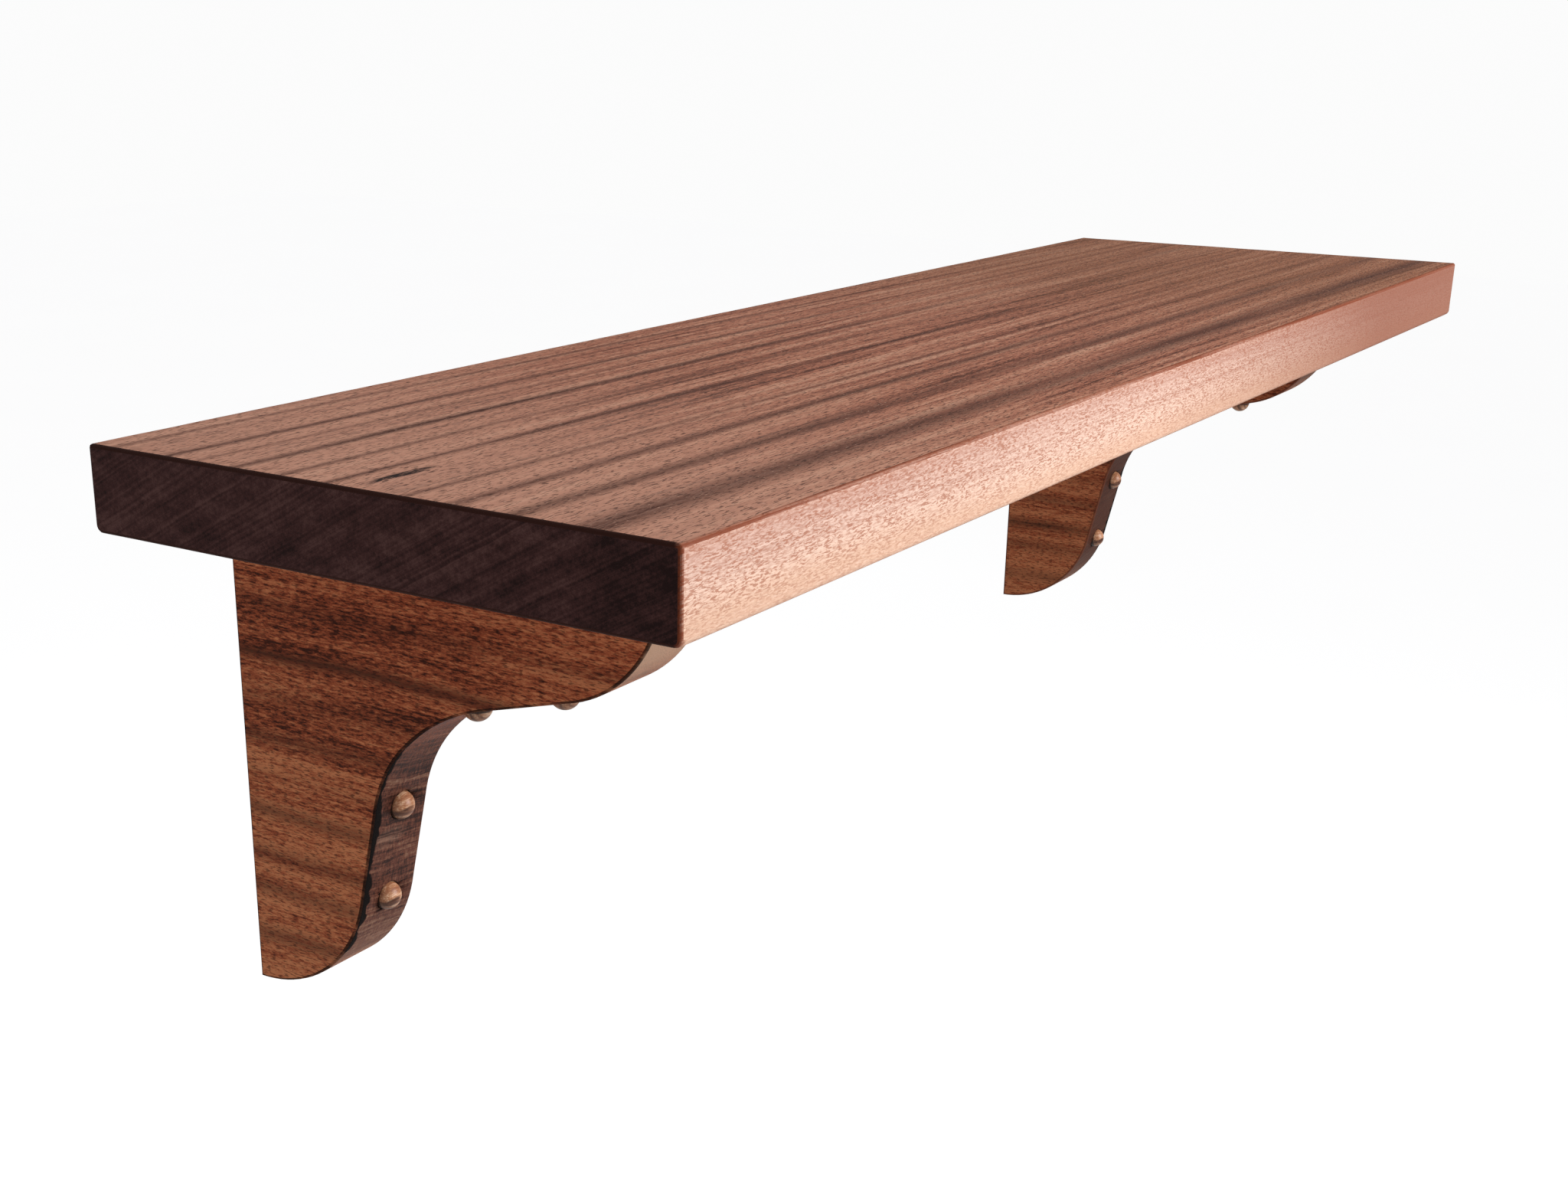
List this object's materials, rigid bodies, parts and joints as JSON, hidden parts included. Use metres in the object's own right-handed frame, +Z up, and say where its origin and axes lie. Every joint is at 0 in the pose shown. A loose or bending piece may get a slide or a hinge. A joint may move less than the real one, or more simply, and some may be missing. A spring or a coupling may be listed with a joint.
{
  "type": "wall shelf with brackets",
  "caption": "Wooden wall shelf: a straight board on ogee-shaped wooden brackets that are screwed to it from below and to the wall, with domed plugs over the sunk screw heads.",
  "frame": {"origin": "on the wall plane, at the middle of the wall-screw holes in the bracket legs", "axes": "+X along the shelf to the right as seen from the room, +Y into the wall, +Z up"},
  "size_m": [0.711, 0.203, 0.189],
  "materials": {
    "board_wood": "oiled, satin",
    "bracket_wood": "oiled, satin",
    "plug_wood": "oiled, satin",
    "screw_steel": "zinc plated"
  },
  "bodies": {
    "root": {"shelf_board": "board_wood", "left_bracket": "bracket_wood", "right_bracket": "bracket_wood", "left_arm_rear_screw": "screw_steel", "left_arm_front_screw": "screw_steel", "right_arm_rear_screw": "screw_steel", "right_arm_front_screw": "screw_steel", "left_leg_upper_plug": "plug_wood", "left_leg_lower_plug": "plug_wood", "left_arm_rear_plug": "plug_wood", "left_arm_front_plug": "plug_wood", "right_leg_upper_plug": "plug_wood", "right_leg_lower_plug": "plug_wood", "right_arm_rear_plug": "plug_wood", "right_arm_front_plug": "plug_wood"}
  },
  "joints": []
}
